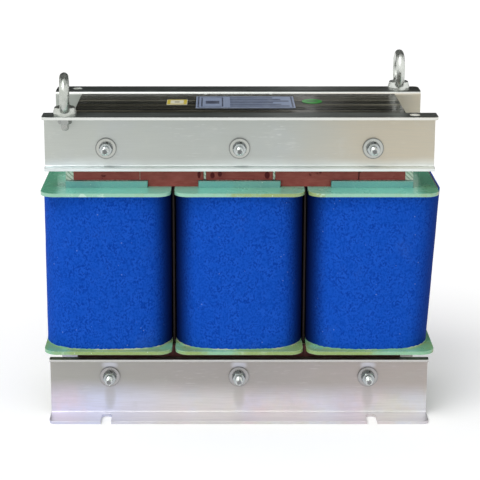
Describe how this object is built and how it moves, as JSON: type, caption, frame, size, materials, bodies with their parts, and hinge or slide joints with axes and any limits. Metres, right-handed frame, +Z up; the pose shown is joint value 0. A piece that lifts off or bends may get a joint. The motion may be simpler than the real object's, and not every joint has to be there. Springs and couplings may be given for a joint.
{
  "type": "load-side reactor",
  "caption": "Three-phase dry-type iron-core reactor with blue wrapped coils between folded steel clamps, with lifting eyes and rear terminal bars.",
  "frame": {"origin": "middle of the four foot slots, on the floor plane under the middle limb", "axes": "+X to the right along the yokes, +Y to the rear where the terminal bars leave, +Z up"},
  "size_m": [0.3435, 0.1994, 0.3095],
  "materials": {
    "zinc_sheet": "zinc plated sheet steel",
    "galvanised_forging": "galvanised forging",
    "zinc_fasteners": "bright zinc plated",
    "varnished_laminations": "dark glossy varnish over lamination edges",
    "pale_insulation": "matt glass-epoxy board",
    "red_brown_board": "satin laminate board",
    "green_laminate": "glossy glass-epoxy",
    "whitish_packing": "rough cut glass-epoxy",
    "winding_foil": "bare foil edges",
    "blue_wrap": "varnished speckled wrap",
    "terminal_aluminium": "plain bar"
  },
  "bodies": {
    "root": {"centre_finish_bar": "terminal_aluminium", "centre_former": "green_laminate", "centre_limb": "varnished_laminations", "centre_lower_flange": "green_laminate", "centre_start_bar": "terminal_aluminium", "centre_upper_flange": "green_laminate", "centre_winding": "winding_foil", "centre_wrap": "blue_wrap", "clamp_nuts": "zinc_fasteners", "clamp_studs": "zinc_fasteners", "end_strips": "pale_insulation", "eye_bolt_nuts": "zinc_fasteners", "flat_washers": "zinc_fasteners", "front_eye_bolt": "galvanised_forging", "gap_boards": "pale_insulation", "left_finish_bar": "terminal_aluminium", "left_former": "green_laminate", "left_limb": "varnished_laminations", "left_lower_flange": "green_laminate", "left_start_bar": "terminal_aluminium", "left_upper_flange": "green_laminate", "left_winding": "winding_foil", "left_wrap": "blue_wrap", "limb_packing": "whitish_packing", "lower_front_boards": "red_brown_board", "lower_front_clamp": "zinc_sheet", "lower_rear_boards": "red_brown_board", "lower_rear_clamp": "zinc_sheet", "lower_yoke": "varnished_laminations", "phase_barriers": "red_brown_board", "rear_eye_bolt": "galvanised_forging", "right_finish_bar": "terminal_aluminium", "right_former": "green_laminate", "right_limb": "varnished_laminations", "right_lower_flange": "green_laminate", "right_start_bar": "terminal_aluminium", "right_upper_flange": "green_laminate", "right_winding": "winding_foil", "right_wrap": "blue_wrap", "spring_washers": "zinc_fasteners", "stud_sleeves": "pale_insulation", "upper_front_boards": "red_brown_board", "upper_front_clamp": "zinc_sheet", "upper_rear_boards": "red_brown_board", "upper_rear_clamp": "zinc_sheet", "upper_yoke": "varnished_laminations"}
  },
  "joints": []
}
